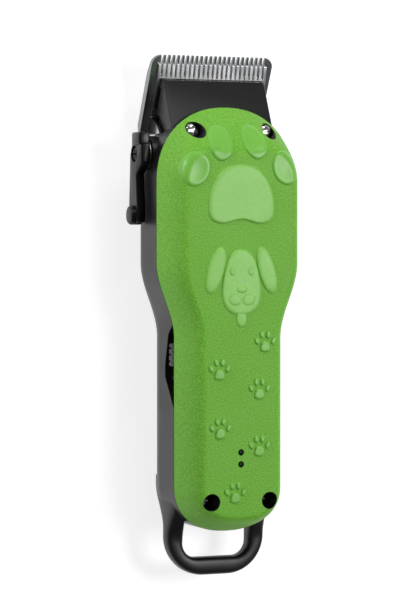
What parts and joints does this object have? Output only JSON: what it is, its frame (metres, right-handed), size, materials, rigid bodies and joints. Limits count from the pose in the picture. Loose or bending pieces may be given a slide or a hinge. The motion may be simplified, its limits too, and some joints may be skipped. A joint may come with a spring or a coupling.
{
  "type": "cordless pet hair clipper",
  "caption": "Cordless pet-hair clipper with toothed steel blades, side taper lever, side slide switch and a hanging loop.",
  "frame": {"origin": "on the flat back strip that the clipper lies on, at mid-length and on the centre plane", "axes": "+Y along the clipper towards the blade tips, +Z out through the front cover, +X to the right seen from the front with the blades up"},
  "size_m": [0.0558, 0.178, 0.0408],
  "materials": {
    "green_shell": "fine-grained moulded ABS, bright green",
    "black_body": "satin black moulded ABS",
    "black_lever": "satin black moulded nylon",
    "blade_steel": "ground and polished carbon steel",
    "bright_screw": "nickel-plated steel",
    "spring_steel": "spring steel strip",
    "motor_steel": "zinc-plated motor can",
    "white_acetal": "natural acetal",
    "cam_brass": "turned brass",
    "board_resin": "glass-resin circuit board",
    "cell_wrap": "shrink-wrapped steel cell",
    "lamp_plastic": "smoked clear plastic",
    "cradle_foam": "black foam rubber"
  },
  "bodies": {
    "housing": {"front_cover": "green_shell", "rear_housing": "black_body", "tension_spring": "spring_steel", "motor_can": "motor_steel", "motor_end_cap": "white_acetal", "motor_bracket": "motor_steel", "motor_screw_left": "bright_screw", "motor_screw_right": "bright_screw", "battery_cell": "cell_wrap", "battery_tab_front": "spring_steel", "battery_tab_rear": "spring_steel", "battery_cradle": "cradle_foam", "circuit_board": "board_resin", "board_screw_1": "bright_screw", "board_screw_2": "bright_screw", "charge_lamp_1": "lamp_plastic", "charge_lamp_2": "lamp_plastic", "slide_switch": "motor_steel", "charging_socket": "black_body", "lever_washer": "spring_steel", "cover_screw_upper_left": "bright_screw", "cover_screw_lower_left": "bright_screw", "cover_screw_upper_right": "bright_screw", "cover_screw_lower_right": "bright_screw"},
    "blade_set": {"fixed_blade": "blade_steel", "blade_bracket": "bright_screw", "blade_screw_left": "bright_screw", "blade_screw_right": "bright_screw"},
    "cutter": {"moving_blade": "blade_steel", "cutter_yoke": "white_acetal"},
    "armature": {"motor_shaft": "spring_steel", "eccentric_cam": "cam_brass"},
    "lever": {"taper_lever": "black_lever", "lever_crank": "motor_steel", "lever_screw": "motor_steel"},
    "switch": {"switch_slider": "black_lever"}
  },
  "joints": [
    {"name": "lever_hinge", "type": "hinge", "parent": "housing", "child": "lever", "pos_m": [-0.0245, 0.055, 0.0155], "axis": [1, 0, 0], "range_deg": [-30, 0]},
    {"name": "blade_adjust", "type": "slide", "parent": "housing", "child": "blade_set", "axis": [0, 0.891, 0.454], "range_m": [-0.00238, 0]},
    {"name": "cutter_slide", "type": "slide", "parent": "housing", "child": "cutter", "axis": [1, 0, 0], "range_m": [-0.0012, 0.0012]},
    {"name": "motor_spin", "type": "hinge", "parent": "housing", "child": "armature", "pos_m": [0, 0.03, 0.0195], "axis": [0, 1, 0], "continuous": true},
    {"name": "switch_slide", "type": "slide", "parent": "housing", "child": "switch", "axis": [0, 1, 0], "range_m": [-0.004, 0]}
  ],
  "couplings": [
    {"joint": "lever_hinge", "follows": "blade_adjust", "rad_per_m": 219.9}
  ]
}
